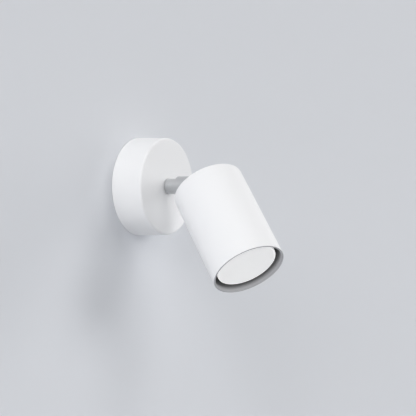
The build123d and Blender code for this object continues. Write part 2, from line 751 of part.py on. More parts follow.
# ---------------------------------------------------------------- bracket of the lampholder
arm_reach = bracket_diameter / 2
tab_length = arm_reach - holder_screw_spacing / 2 + tab_margin
bracket_seat = holder_seat - sheet_lift
with BuildPart() as holder_bracket:
    with BuildSketch(cap_frame.offset(head_wall)):
        Circle(bracket_diameter / 2)
        with Locations((0, -knuckle_offset)):
            Circle(spigot_radius + seat_clearance, mode=Mode.SUBTRACT)
        with Locations((head_earth_x, head_earth_y)):
            Circle(earth_screw_diameter / 2 + seat_clearance, mode=Mode.SUBTRACT)
    extrude(amount=bracket_thickness)
    with BuildSketch(cap_frame.offset(head_wall)):
        with GridLocations(2 * arm_reach - bracket_thickness, 0, 2, 1):
            Rectangle(bracket_thickness, arm_width)
    extrude(amount=bracket_seat - head_wall)
    with BuildSketch(cap_frame.offset(bracket_seat - bracket_thickness)):
        with GridLocations(2 * arm_reach - tab_length, 0, 2, 1):
            Rectangle(tab_length, arm_width)
        with GridLocations(holder_screw_spacing, 0, 2, 1):
            Circle(holder_screw_diameter / 2 + seat_clearance, mode=Mode.SUBTRACT)
    extrude(amount=bracket_thickness)

# ---------------------------------------------------------------- lampholder
pin_angles = (90, 270)  # of the locked pins
pin_arcs = [CenterArc((0, 0), pin_spacing / 2, angle, lamp_twist) for angle in pin_angles]
pin_entries = [polar(pin_spacing / 2, angle + lamp_twist) for angle in pin_angles]
with BuildPart() as lampholder:
    with BuildSketch(cap_frame.offset(holder_seat)):
        Circle(holder_diameter / 2)
        Rectangle(holder_diameter, holder_width, mode=Mode.INTERSECT)
    extrude(amount=holder_thickness)
    with BuildSketch(cap_frame.offset(holder_rear)):
        RectangleRounded(holder_block_length, holder_block_width, holder_block_corner)
    extrude(amount=holder_block_height)
    # key slots for the pins, and the hollows that their heads turn in
    with BuildSketch(cap_frame.offset(holder_face)):
        for arc in pin_arcs:
            SlotArc(arc, pin_diameter + 2 * keyhole_clearance)
        with Locations(*pin_entries):
            Circle(pin_head_diameter / 2 + keyhole_clearance)
    extrude(amount=-holder_face_plate, mode=Mode.SUBTRACT)
    with BuildSketch(cap_frame.offset(cavity_floor)):
        for arc in pin_arcs:
            SlotArc(arc, pin_head_diameter + 2 * keyhole_clearance)
        with GridLocations(0, 2 * contact_y, 1, 2):
            Rectangle(contact_width + 2 * keyhole_clearance, contact_length + 2 * keyhole_clearance)
    extrude(amount=holder_face - holder_face_plate - cavity_floor, mode=Mode.SUBTRACT)
    # slots for the legs of the contacts
    with BuildSketch(cap_frame.offset(holder_rear)):
        with GridLocations(0, 2 * contact_y + contact_length - contact_thickness, 1, 2):
            Rectangle(contact_width + 2 * seat_clearance, contact_thickness + 2 * seat_clearance)
    extrude(amount=cavity_floor - holder_rear, mode=Mode.SUBTRACT)
    # fixing holes with sunk heads
    with BuildSketch(cap_frame.offset(holder_seat)):
        with GridLocations(holder_screw_spacing, 0, 2, 1):
            Circle(holder_screw_diameter / 2 + seat_clearance)
    extrude(amount=holder_thickness, mode=Mode.SUBTRACT)
    with BuildSketch(cap_frame.offset(holder_face - holder_screw_sink)):
        with GridLocations(holder_screw_spacing, 0, 2, 1):
            Circle(holder_screw_head / 2 + seat_clearance)
    extrude(amount=holder_screw_sink, mode=Mode.SUBTRACT)

holder_screw_seat = holder_face - holder_screw_sink
holder_screw_length = holder_screw_seat - bracket_seat + 2 * bracket_thickness
holder_screw_pair = [
    slotted_screw(
        place(cap_frame, side * holder_screw_spacing / 2, 0, holder_screw_seat),
        holder_screw_diameter,
        holder_screw_length,
        holder_screw_head,
        holder_screw_head_height,
    )
    for side in (-1, 1)
]
with BuildPart() as holder_screws:
    for screw in holder_screw_pair:
        add(screw.part)

# each contact: a leaf below a pin, a leg through the holder and a crimp for the lead
contact_leg_y = contact_y + (contact_length - contact_thickness) / 2
crimp_top = holder_rear - seat_clearance
with BuildPart() as holder_contacts:
    with BuildSketch(cap_frame.offset(contact_top - contact_thickness)):
        with GridLocations(0, 2 * contact_y, 1, 2):
            Rectangle(contact_width, contact_length)
    extrude(amount=contact_thickness)
    with BuildSketch(cap_frame.offset(crimp_top - crimp_length / 2)):
        with GridLocations(0, 2 * contact_leg_y, 1, 2):
            Rectangle(contact_width, contact_thickness)
    extrude(amount=contact_top - crimp_top + crimp_length / 2)
    with BuildSketch(cap_frame.offset(crimp_top - crimp_length)):
        with GridLocations(0, 2 * contact_leg_y, 1, 2):
            Circle(contact_crimp_diameter / 2)
    extrude(amount=crimp_length)
    with BuildSketch(cap_frame.offset(crimp_top - crimp_length)):
        with GridLocations(0, 2 * contact_leg_y, 1, 2):
            Circle(lead_radius + seat_clearance)
    extrude(amount=crimp_length, mode=Mode.SUBTRACT)

# ---------------------------------------------------------------- earth terminal of the head
head_earth_frame = place(cap_frame, head_earth_x, head_earth_y, bracket_top)
head_earth_tag = ring_tag(
    Plane(origin=head_earth_frame.origin, x_dir=-cap_frame.y_dir, z_dir=cap_frame.z_dir)
)
head_earth_screw = slotted_screw(
    head_earth_frame.offset(tag_thickness),
    earth_screw_diameter,
    bracket_thickness + tag_thickness,
    earth_screw_head,
    earth_screw_head_height,
)

# ---------------------------------------------------------------- leads inside the head
head_lead_start = -(channel_mouth - lead_radius)
bore_across = channel_middle[1] - channel_depth * sin(channel_turn)
lead_side = lead_spots[1][0]
spigot_out = tongue_spigot_end + lead_diameter
crimp_bottom = crimp_top - crimp_length
crimp_in = crimp_bottom + crimp_length / 2
earth_out = bracket_top + crimp_diameter / 2
earth_mouth = head_earth_y - tag_reach


def head_point(x, y, z):
    """A point inside the head, from the centre of its cap."""
    return cap_frame.from_local_coords((x, y, z))


def head_lead(aside, lift, onward, bends):
    """The wire from the mouth of the channel, up the bore of the spigot and on to its terminal."""
    bore_y = -knuckle_offset - bore_across - lift * cos(channel_turn)
    points = [
        channel_point(head_lead_start, aside, lift),
        channel_point(channel_depth, aside, lift),
        head_point(aside, bore_y, spigot_out),
    ]
    return lead(points + [head_point(*point) for point in onward], [channel_bend] + bends)


# the points past the spigot are laid by hand, clear of the nut, the bracket and each other
near_contact_route = [
    (0, -contact_leg_y, crimp_bottom - 1.2),
    (0, -contact_leg_y, crimp_in),
]
far_contact_route = [
    (-4.5, 1.7 - knuckle_offset, spigot_out + 0.6),
    (-2.5, 2.0, crimp_bottom - 2.1),
    (0, contact_leg_y, crimp_bottom - 2.1),
    (0, contact_leg_y, crimp_in),
]
earth_route = [
    (8.0, -1.8 - knuckle_offset, spigot_out - 0.7),
    (head_earth_x, earth_mouth - 7.0, earth_out + 2.0),
    (head_earth_x, earth_mouth - 2.0, earth_out),
    (head_earth_x, earth_mouth + crimp_length / 2, earth_out),
]
head_wires = [
    head_lead(0, -lead_ring, near_contact_route, [1.5, 1.2]),
    head_lead(-lead_side, lead_ring / 2, far_contact_route, [1.4, 3.0, 4.0, 1.9]),
    head_lead(lead_side, lead_ring / 2, earth_route, [1.4, 3.0, 3.0, 2.5]),
]
with BuildPart() as head_leads:
    for wire in head_wires:
        add(wire.part)

# ---------------------------------------------------------------- lamp
diffuser_base = lamp_front - diffuser_thickness
rim_base = diffuser_base - lamp_rim_length
neck_top = lamp_base + lamp_neck_length
lamp_radius = lamp_diameter / 2
shoulder_radius = lamp_shoulder_diameter / 2
neck_radius = lamp_neck_diameter / 2
with BuildPart() as lamp_housing:
    with BuildSketch(section_of(cap_frame)):
        with BuildLine():
            Polyline((0, diffuser_base), (0, lamp_base), (neck_radius, lamp_base))
            Polyline((neck_radius, lamp_base), (neck_radius, neck_top), (shoulder_radius, neck_top))
            ThreePointArc(
                (shoulder_radius, neck_top),
                (
                    (shoulder_radius + lamp_radius) / 2 + lamp_waist_bulge,
                    (neck_top + rim_base) / 2 - lamp_waist_bulge,
                ),
                (lamp_radius, rim_base),
            )
            Polyline((lamp_radius, rim_base), (lamp_radius, diffuser_base), (0, diffuser_base))
        make_face()
    revolve(axis=axis_of(cap_frame))

with BuildPart() as lamp_diffuser:
    with BuildSketch(cap_frame.offset(diffuser_base)):
        Circle(lamp_radius)
    extrude(amount=diffuser_thickness)
    fillet(lamp_diffuser.edges().sort_by(head_axis)[-1], diffuser_edge_radius)

with BuildPart() as lamp_pins:
    with BuildSketch(cap_frame.offset(pin_end)):
        with GridLocations(0, pin_spacing, 1, 2):
            Circle(pin_head_diameter / 2)
    extrude(amount=pin_head_length)
    with BuildSketch(cap_frame.offset(pin_end)):
        with GridLocations(0, pin_spacing, 1, 2):
            Circle(pin_diameter / 2)
    extrude(amount=pin_length)

# ---------------------------------------------------------------- the finished pieces
pieces = {
    "wall_plate": wall_plate,
    "rose_cover": rose_cover,
    "cover_screws": cover_screws,
    "terminal_block": terminal_block,
    "terminal_barrels": terminal_barrels,
    "terminal_screws": terminal_screws,
    "block_screw": block_screw,
    "earth_screw": earth_screw,
    "earth_tag": earth_tag,
    "rose_leads": rose_leads,
    "swivel_stem": swivel_stem,
    "face_washer": face_washer,
    "friction_washer": friction_washer,
    "stop_washer": stop_washer,
    "spring_washer": spring_washer,
    "swivel_nut": swivel_nut,
    "stem_leads": stem_leads,
    "knuckle_fork": knuckle_fork,
    "pivot_screw": pivot_screw,
    "pivot_nut": pivot_nut,
    "pivot_washers": pivot_washers,
    "knuckle_tongue": knuckle_tongue,
    "lock_washer": lock_washer,
    "tongue_nut": tongue_nut,
    "head_shell": head_shell,
    "holder_bracket": holder_bracket,
    "lampholder": lampholder,
    "holder_screws": holder_screws,
    "holder_contacts": holder_contacts,
    "head_earth_screw": head_earth_screw,
    "head_earth_tag": head_earth_tag,
    "head_leads": head_leads,
    "lamp_housing": lamp_housing,
    "lamp_diffuser": lamp_diffuser,
    "lamp_pins": lamp_pins,
}

os.makedirs("parts", exist_ok=True)
for name, piece in pieces.items():
    piece.part.label = name
    export_step(piece.part, f"parts/{name}.step")
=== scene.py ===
"""Looks for the pivoting spotlight wall light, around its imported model, in metres."""

import json
import math

import bmesh
import bpy
from mathutils import Matrix, Vector


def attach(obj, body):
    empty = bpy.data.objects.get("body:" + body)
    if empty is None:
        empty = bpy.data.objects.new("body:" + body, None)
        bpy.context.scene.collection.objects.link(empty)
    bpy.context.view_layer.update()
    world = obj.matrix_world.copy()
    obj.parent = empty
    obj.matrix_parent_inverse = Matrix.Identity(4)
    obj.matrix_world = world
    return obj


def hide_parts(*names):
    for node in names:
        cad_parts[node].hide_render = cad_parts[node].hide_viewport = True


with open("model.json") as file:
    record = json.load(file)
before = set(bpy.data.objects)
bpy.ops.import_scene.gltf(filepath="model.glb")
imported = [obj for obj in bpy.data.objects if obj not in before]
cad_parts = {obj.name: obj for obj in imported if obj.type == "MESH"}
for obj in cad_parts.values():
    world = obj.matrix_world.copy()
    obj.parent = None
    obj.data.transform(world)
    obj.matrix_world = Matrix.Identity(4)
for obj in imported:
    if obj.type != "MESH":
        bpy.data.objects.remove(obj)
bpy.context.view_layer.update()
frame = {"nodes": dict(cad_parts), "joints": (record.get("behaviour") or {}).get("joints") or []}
nodes = frame["nodes"]
joints = {joint["name"]: joint for joint in frame["joints"]}
scene = bpy.context.scene
mm = 0.001

# ---------------------------------------------------------------- places read from the frame
rose_axis = Vector(joints["swivel"]["axis"]).normalized()
tilt_axis = Vector(joints["tilt"]["axis"]).normalized()
head_axis = Vector(joints["lamp_twist"]["axis"]).normalized()
head_cap = Vector(joints["lamp_twist"]["pos_m"])  # the centre of the head's closed end
head_frame = Matrix((tilt_axis, head_axis.cross(tilt_axis), head_axis)).transposed().to_4x4()
head_frame.translation = head_cap


def along_head(point):
    """The distance of a point from the closed end, along the head."""
    return (Vector(point) - head_cap).dot(head_axis)


def from_head_axis(point):
    """The distance of a point from the head's own axis."""
    offset = Vector(point) - head_cap
    return (offset - head_axis * offset.dot(head_axis)).length


def span_along_head(node):
    """The least and greatest distance of a node from the closed end."""
    heights = [along_head(vertex.co) for vertex in nodes[node].data.vertices]
    return min(heights), max(heights)


def radius_in_head(node):
    """The greatest distance of a node from the head's axis."""
    return max(from_head_axis(vertex.co) for vertex in nodes[node].data.vertices)


head_length = span_along_head("head_shell")[1]
head_radius = radius_in_head("head_shell")
diffuser_base, lamp_front = span_along_head("lamp_diffuser")
lamp_radius = radius_in_head("lamp_diffuser")
neck_base = span_along_head("lamp_housing")[0]


# ---------------------------------------------------------------- node helpers
def link(tree, source, output, target, entry):
    """One link between two nodes of a tree."""
    tree.links.new(source.outputs[output], target.inputs[entry])


def shader_group(name, inputs, outputs):
    """An empty shader group with named inputs, given as name, kind and default, and outputs."""
    tree = bpy.data.node_groups.new(name, "ShaderNodeTree")
    for label, kind, default in inputs:
        entry = tree.interface.new_socket(label, in_out="INPUT", socket_type=kind)
        entry.default_value = default
    for label, kind in outputs:
        tree.interface.new_socket(label, in_out="OUTPUT", socket_type=kind)
    return tree, tree.nodes.new("NodeGroupInput"), tree.nodes.new("NodeGroupOutput")


def place_group(tree, group, values):
    """A group's node in a tree, with its own values."""
    node = tree.nodes.new("ShaderNodeGroup")
    node.node_tree = group
    for label, value in values.items():
        node.inputs[label].default_value = value
    return node


def calculate(tree, operation, first, second=None, third=None):
    """A Math node on numbers or on outputs, given as node and name, and what it puts out."""
    node = tree.nodes.new("ShaderNodeMath")
    node.operation = operation
    for slot, value in enumerate((first, second, third)):
        if isinstance(value, tuple):
            link(tree, *value, node, slot)
        elif value is not None:
            node.inputs[slot].default_value = value
    return node, "Value"


def calculate_vector(tree, operation, first, second, output="Vector"):
    """A Vector Math node on outputs, given as node and name, and what it puts out."""
    node = tree.nodes.new("ShaderNodeVectorMath")
    node.operation = operation
    for slot, value in enumerate((first, second)):
        link(tree, *value, node, slot)
    return node, output


def object_place(tree):
    """A point's place in the frame that all pieces share, as node and name."""
    return tree.nodes.new("ShaderNodeTexCoord"), "Object"


def noise(tree, place, scale, detail):
    """A noise over a place at a scale, both given as node and name, and what it puts out."""
    node = tree.nodes.new("ShaderNodeTexNoise")
    node.inputs["Detail"].default_value = detail
    link(tree, *place, node, "Vector")
    link(tree, *scale, node, "Scale")
    return node, "Fac"


def mix_colours(tree, factor, first, second, blend="MIX"):
    """A mix of two colours, each given as numbers or as node and name, and what it puts out."""
    node = tree.nodes.new("ShaderNodeMix")
    node.data_type = "RGBA"
    node.blend_type = blend
    if isinstance(factor, tuple):
        link(tree, *factor, node, "Factor")
    else:
        node.inputs["Factor"].default_value = factor
    for colour, label in ((first, "A"), (second, "B")):
        if isinstance(colour[0], float):
            node.inputs[label].default_value = (*colour, 1.0)
        else:
            link(tree, *colour, node, label)
    return node, "Result"


# ---------------------------------------------------------------- shared effects
noise_middle = 0.5
spread_inputs = [
    ("Tone Spread", "NodeSocketFloat", 0.02),
    ("Roughness", "NodeSocketFloat", 0.5),
    ("Roughness Spread", "NodeSocketFloat", 0.05),
]
effect_outputs = [
    ("Height", "NodeSocketFloat"),
    ("Tone", "NodeSocketFloat"),
    ("Roughness", "NodeSocketFloat"),
]


def add_spread(tree, entry, result, pattern):
    """Turns a pattern round its middle into a tone round 1 and a roughness round its own value."""
    centred = calculate(tree, "SUBTRACT", pattern, noise_middle)
    tone = calculate(tree, "MULTIPLY_ADD", centred, (entry, "Tone Spread"), 1.0)
    link(tree, *tone, result, "Tone")
    rough = calculate(tree, "MULTIPLY_ADD", centred, (entry, "Roughness Spread"), (entry, "Roughness"))
    link(tree, *rough, result, "Roughness")


def make_grain_group():
    """Fine unevenness of a surface: a height, a small change of tone and one of roughness."""
    inputs = [
        ("Grain Scale", "NodeSocketFloat", 900.0),
        ("Cloud Scale", "NodeSocketFloat", 60.0),
        *spread_inputs,
    ]
    tree, entry, result = shader_group("surface_grain", inputs, effect_outputs)
    place = object_place(tree)
    fine = noise(tree, place, (entry, "Grain Scale"), detail=3.0)
    link(tree, *fine, result, "Height")
    broad = noise(tree, place, (entry, "Cloud Scale"), detail=2.0)
    add_spread(tree, entry, result, broad)
    return tree


def make_turned_group():
    """Fine rings round an axis, as a lathe tool leaves them: a height, a tone and a roughness."""
    inputs = [
        ("Axis", "NodeSocketVector", (0.0, 1.0, 0.0)),
        ("Ring Scale", "NodeSocketFloat", 9000.0),
        *spread_inputs,
    ]
    tree, entry, result = shader_group("turned_rings", inputs, effect_outputs)
    height = calculate_vector(tree, "DOT_PRODUCT", object_place(tree), (entry, "Axis"), "Value")
    rings = tree.nodes.new("ShaderNodeTexNoise")
    rings.noise_dimensions = "1D"
    link(tree, *height, rings, "W")
    link(tree, entry, "Ring Scale", rings, "Scale")
    link(tree, rings, "Fac", result, "Height")
    add_spread(tree, entry, result, (rings, "Fac"))
    return tree


def make_round_place_group():
    """A point's height along an axis and its distance from it."""
    inputs = [
        ("Foot", "NodeSocketVector", (0.0, 0.0, 0.0)),
        ("Axis", "NodeSocketVector", (0.0, 0.0, 1.0)),
    ]
    outputs = [("Height", "NodeSocketFloat"), ("Radius", "NodeSocketFloat")]
    tree, entry, result = shader_group("round_place", inputs, outputs)
    offset = calculate_vector(tree, "SUBTRACT", object_place(tree), (entry, "Foot"))
    height = calculate_vector(tree, "DOT_PRODUCT", offset, (entry, "Axis"), "Value")
    link(tree, *height, result, "Height")
    cross = calculate_vector(tree, "CROSS_PRODUCT", offset, (entry, "Axis"))
    radius = tree.nodes.new("ShaderNodeVectorMath")
    radius.operation = "LENGTH"
    link(tree, *cross, radius, 0)
    link(tree, radius, "Value", result, "Radius")
    return tree


surface_grain = make_grain_group()
turned_rings = make_turned_group()
round_place = make_round_place_group()


# ---------------------------------------------------------------- kinds of finish
def new_material(name):
    """A material, its tree and its Principled BSDF."""
    material = bpy.data.materials.new(name)
    material.use_nodes = True
    return material, material.node_tree, material.node_tree.nodes["Principled BSDF"]


def place_grain(tree, roughness, grain_scale, tone_spread=0.02, roughness_spread=0.06, cloud_scale=60.0):
    """The surface grain in a material's tree."""
    return place_group(tree, surface_grain, {
        "Grain Scale": grain_scale, "Cloud Scale": cloud_scale, "Tone Spread": tone_spread,
        "Roughness": roughness, "Roughness Spread": roughness_spread,
    })


def finish_from(tree, shader, effect, colour, bump_distance, bump_strength=0.3):
    """Joins an effect's tone, roughness and height to a shader, over a colour or a colour's output."""
    tone = mix_colours(tree, 1.0, colour, (effect, "Tone"), "MULTIPLY")
    link(tree, *tone, shader, "Base Color")
    link(tree, effect, "Roughness", shader, "Roughness")
    bump = tree.nodes.new("ShaderNodeBump")
    bump.inputs["Strength"].default_value = bump_strength
    bump.inputs["Distance"].default_value = bump_distance
    link(tree, effect, "Height", bump, "Height")
    link(tree, bump, "Normal", shader, "Normal")


def grained(name, colour, bump_distance, metallic=0.0, **grain):
    """A moulded, coated, fired or pressed surface, with its fine grain's values by name."""
    material, tree, shader = new_material(name)
    finish_from(tree, shader, place_grain(tree, **grain), colour, bump_distance)
    shader.inputs["Metallic"].default_value = metallic
    return material


def turned(name, colour, roughness, axis, ring_scale, tone_spread=0.08, roughness_spread=0.12):
    """Turned metal with the rings of its last cut."""
    material, tree, shader = new_material(name)
    effect = place_group(tree, turned_rings, {
        "Axis": axis, "Ring Scale": ring_scale, "Tone Spread": tone_spread,
        "Roughness": roughness, "Roughness Spread": roughness_spread,
    })
    finish_from(tree, shader, effect, colour, fine_bump, bump_strength=0.2)
    shader.inputs["Metallic"].default_value = 1.0
    return material


# ---------------------------------------------------------------- finishes of this light
fine_bump = 0.01 * mm
coat_bump = 0.02 * mm
coarse_bump = 0.03 * mm
fine_rings = 9000.0
coarse_rings = 5000.0
powder_white = (0.90, 0.90, 0.905)
bore_grey = (0.50, 0.50, 0.515)
# painted shade: the dark grey that the bore turns to beside the lamp
bore_painted_shade = (0.18, 0.18, 0.185)
satin_metal = (0.61, 0.62, 0.63)
powder_grain = {"roughness": 0.62, "grain_scale": 1500.0, "tone_spread": 0.01, "roughness_spread": 0.05}
sleeve_grain = {"roughness": 0.45, "grain_scale": 1800.0}


def make_head_coat():
    """White powder outside, and grey on the mouth's edge and in the bore, where painted shade darkens the
    grey towards the lamp.
    """
    bore_wall = head_radius - 0.8 * mm  # a surface nearer the axis is the bore's
    cap_middle = 0.75 * mm
    mouth_edge = head_length - 0.2 * mm
    dark_depth = lamp_front - 1.0 * mm
    pale_depth = lamp_front + 2.4 * mm
    material, tree, shader = new_material("head_coat")
    place = place_group(tree, round_place, {"Foot": head_cap, "Axis": head_axis})
    within = calculate(tree, "LESS_THAN", (place, "Radius"), bore_wall)
    past_cap = calculate(tree, "GREATER_THAN", (place, "Height"), cap_middle)
    on_edge = calculate(tree, "GREATER_THAN", (place, "Height"), mouth_edge)
    bore_or_edge = calculate(tree, "MAXIMUM", calculate(tree, "MULTIPLY", within, past_cap), on_edge)
    # painted shade: over this span of height the bore's grey goes dark towards the lamp
    depth = tree.nodes.new("ShaderNodeMapRange")
    depth.inputs["From Min"].default_value = dark_depth
    depth.inputs["From Max"].default_value = pale_depth
    link(tree, place, "Height", depth, "Value")
    bore = mix_colours(tree, (depth, "Result"), bore_painted_shade, bore_grey)
    colour = mix_colours(tree, bore_or_edge, powder_white, bore)
    finish_from(tree, shader, place_grain(tree, **powder_grain), colour, coat_bump)
    return material


def make_sleeve_stripes():
    """The earth's sleeve: green on one side and yellow on the other, all along the lead."""
    yellow = (0.75, 0.58, 0.03)
    green = (0.03, 0.22, 0.05)
    material, tree, shader = new_material("earth_sleeve")
    side = tree.nodes.new("ShaderNodeAttribute")
    side.attribute_name = "sleeve_side"
    green_side = calculate(tree, "GREATER_THAN", (side, "Fac"), 0.5)
    stripes = mix_colours(tree, green_side, yellow, green)
    grain = place_grain(tree, tone_spread=0.05, roughness_spread=0.08, **sleeve_grain)
    finish_from(tree, shader, grain, stripes, fine_bump)
    return material


def make_frosted_face():
    """The unlit lamp's frosted face inside a bead of the clear moulding, with a painted glow: a faint
    emission brightens the face, and a whiter colour and stronger emission make the bead a painted bright
    rim.
    """
    frosted_radius = lamp_radius - 1.4 * mm
    # painted highlight: the bead is whiter than the face, for a bright rim
    bead_painted_white = (0.93, 0.93, 0.93)
    frosted_white = (0.86, 0.86, 0.86)
    # painted glow: emission on the unlit lamp, stronger on the bead than on the face
    bead_painted_glow = (1.0, 0.99, 0.97)
    face_painted_glow = (0.66, 0.65, 0.63)
    painted_glow_strength = 0.48
    material, tree, shader = new_material("frosted_face")
    place = place_group(tree, round_place, {"Foot": head_cap, "Axis": head_axis})
    frosted = calculate(tree, "LESS_THAN", (place, "Radius"), frosted_radius)
    grain = place_grain(tree, roughness=0.5, grain_scale=2600.0, tone_spread=0.01)
    finish_from(tree, shader, grain, mix_colours(tree, frosted, bead_painted_white, frosted_white), coat_bump)
    # painted glow, stronger on the bead
    painted_glow = mix_colours(tree, frosted, bead_painted_glow, face_painted_glow)
    link(tree, *painted_glow, shader, "Emission Color")
    shader.inputs["Emission Strength"].default_value = painted_glow_strength
    return material


powder_coat = grained("powder_coat", powder_white, coat_bump, **powder_grain)
head_coat = make_head_coat()
satin_stem = turned("satin_stem", satin_metal, 0.33, rose_axis, fine_rings)
satin_tongue = turned("satin_tongue", satin_metal, 0.36, tilt_axis, fine_rings)
zinc_turned = turned("zinc_turned", (0.66, 0.67, 0.69), 0.30, rose_axis, coarse_rings)
brass = turned("turned_brass", (0.78, 0.60, 0.28), 0.28, rose_axis, coarse_rings)
zinc_sheet = grained(
    "zinc_sheet", (0.62, 0.64, 0.66), fine_bump, metallic=1.0,
    roughness=0.34, grain_scale=350.0, tone_spread=0.12, roughness_spread=0.18,
)
tinned = grained(
    "tinned_sheet", (0.72, 0.72, 0.70), fine_bump, metallic=1.0,
    roughness=0.32, grain_scale=500.0, tone_spread=0.10, roughness_spread=0.15,
)
fibre = grained(
    "pressed_fibre", (0.045, 0.045, 0.05), coarse_bump,
    roughness=0.8, grain_scale=2500.0, tone_spread=0.25, roughness_spread=0.05, cloud_scale=800.0,
)
nylon_ring = grained("natural_nylon", (0.80, 0.78, 0.70), fine_bump, roughness=0.5, grain_scale=700.0)
terminal_moulding = grained(
    "terminal_moulding", (0.82, 0.82, 0.78), fine_bump,
    roughness=0.45, grain_scale=900.0, tone_spread=0.03,
)
fired_clay = grained(
    "fired_clay", (0.78, 0.74, 0.65), coarse_bump,
    roughness=0.62, grain_scale=1200.0, tone_spread=0.06, roughness_spread=0.08,
)
lamp_moulding = grained(
    "lamp_moulding", (0.84, 0.84, 0.83), fine_bump, roughness=0.40, grain_scale=1100.0,
)
live_sleeve = grained("live_sleeve", (0.16, 0.07, 0.03), fine_bump, tone_spread=0.06, **sleeve_grain)
neutral_sleeve = grained(
    "neutral_sleeve", (0.02, 0.11, 0.42), fine_bump, tone_spread=0.06, **sleeve_grain,
)
earth_sleeve = make_sleeve_stripes()
frosted_face = make_frosted_face()

coats = {
    powder_coat: ["rose_cover"],
    head_coat: ["head_shell"],
    satin_stem: ["swivel_stem", "knuckle_fork"],
    satin_tongue: ["knuckle_tongue", "pivot_screw", "pivot_nut"],
    zinc_sheet: ["wall_plate", "holder_bracket", "stop_washer"],
    zinc_turned: [
        "spring_washer", "swivel_nut", "lock_washer", "tongue_nut", "cover_screws", "block_screw",
        "holder_screws", "terminal_screws",
    ],
    brass: ["earth_screw", "head_earth_screw", "terminal_barrels", "holder_contacts", "lamp_pins"],
    tinned: ["earth_tag", "head_earth_tag"],
    fibre: ["face_washer"],
    nylon_ring: ["friction_washer", "pivot_washers"],
    terminal_moulding: ["terminal_block"],
    fired_clay: ["lampholder"],
    live_sleeve: ["rose_leads", "stem_leads", "head_leads"],
    lamp_moulding: ["lamp_housing"],
    frosted_face: ["lamp_diffuser"],
}
for coat, coated in coats.items():
    for node in coated:
        nodes[node].data.materials.clear()
        nodes[node].data.materials.append(coat)

# ---------------------------------------------------------------- mesh helpers
sharp_angle = math.radians(30.0)
merge_distance = 0.001 * mm


def add_piece(name, shape, material, placed=None):
    """A finished piece from a bmesh, moved to its place in its mesh, smooth but for its sharp edges."""
    if placed:
        shape.transform(placed)
    shape.normal_update()
    for face in shape.faces:
        face.smooth = True
    for edge in shape.edges:
        edge.smooth = edge.calc_face_angle(0.0) < sharp_angle
    mesh = bpy.data.meshes.new(name)
    shape.to_mesh(mesh)
    shape.free()
    mesh.materials.append(material)
    piece = bpy.data.objects.new(name, mesh)
    scene.collection.objects.link(piece)
    return piece


def turned_shape(profile, steps):
    """A closed body round local Z, from points of radius and height that start and end on the axis."""
    shape = bmesh.new()
    points = [shape.verts.new((radius, 0.0, height)) for radius, height in profile]
    edges = [shape.edges.new(pair) for pair in zip(points, points[1:])]
    bmesh.ops.spin(
        shape, geom=points + edges, cent=(0.0, 0.0, 0.0), axis=(0.0, 0.0, 1.0), angle=math.tau, steps=steps,
    )
    bmesh.ops.remove_doubles(shape, verts=shape.verts, dist=merge_distance)
    bmesh.ops.recalc_face_normals(shape, faces=shape.faces)
    return shape


def arc_through(start, middle, end, steps):
    """Points of radius and height on the arc through three of them, with both ends."""
    (ax, ay), (bx, by), (cx, cy) = start, middle, end
    cross = 2.0 * (ax * (by - cy) + bx * (cy - ay) + cx * (ay - by))
    squares = [x * x + y * y for x, y in (start, middle, end)]
    centre = Vector((
        (squares[0] * (by - cy) + squares[1] * (cy - ay) + squares[2] * (ay - by)) / cross,
        (squares[0] * (cx - bx) + squares[1] * (ax - cx) + squares[2] * (bx - ax)) / cross,
    ))
    first, last = Vector(start) - centre, Vector(end) - centre
    turn = math.atan2(first.x * last.y - first.y * last.x, first.dot(last))
    points = []
    for step in range(steps + 1):
        angle = turn * step / steps
        points.append((
            centre.x + first.x * math.cos(angle) - first.y * math.sin(angle),
            centre.y + first.x * math.sin(angle) + first.y * math.cos(angle),
        ))
    return points


def copy_of_node(node):
    """A CAD node's mesh as a bmesh, with the corners of its loose triangles merged."""
    shape = bmesh.new()
    shape.from_mesh(nodes[node].data)
    bmesh.ops.remove_doubles(shape, verts=shape.verts, dist=merge_distance)
    return shape


def joined_corners(start):
    """All corners of a bmesh that edges join to one of them, with that one first."""
    found = {start: None}
    waiting = [start]
    for corner in waiting:
        for edge in corner.link_edges:
            other = edge.other_vert(corner)
            if other not in found:
                found[other] = None
                waiting.append(other)
    return list(found)


def split_bodies(shape):
    """The separate bodies of a bmesh, each as a new bmesh."""
    bodies = []
    placed = set()
    for start in shape.verts:
        if start in placed:
            continue
        corners = joined_corners(start)
        placed.update(corners)
        body = bmesh.new()
        twin = {corner: body.verts.new(corner.co) for corner in corners}
        for face in dict.fromkeys(face for corner in corners for face in corner.link_faces):
            body.faces.new([twin[corner] for corner in face.verts])
        bodies.append(body)
    shape.free()
    return bodies


def stand_for(piece, body, slot, *replaced):
    """Puts a piece on the body it rides on and hides the nodes it stands for. The slot, a finish's name, is
    not used.
    """
    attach(piece, body)
    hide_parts(*replaced)


# ---------------------------------------------------------------- lamp: frosted face
bead_width = 1.0 * mm
bead_slope = 0.7 * mm  # from the top of the bead down to the frosted face
bead_steps = 6
face_sunk = 0.3 * mm
face_steps = 96


def make_lamp_face():
    """The frosted disc, sunk a little inside the bead that runs round it."""
    bead_top = lamp_radius - bead_width
    profile = [(0.0, diffuser_base), (lamp_radius, diffuser_base)]
    for step in range(bead_steps + 1):
        turn = math.pi / 2 * step / bead_steps
        radius = bead_top + bead_width * math.cos(turn)
        profile.append((radius, lamp_front - bead_width * (1.0 - math.sin(turn))))
    profile += [(bead_top - bead_slope, lamp_front - face_sunk), (0.0, lamp_front - face_sunk)]
    return add_piece("lamp_face", turned_shape(profile, face_steps), frosted_face, head_frame)


stand_for(make_lamp_face(), "lamp", "frosted_diffuser", "lamp_diffuser")

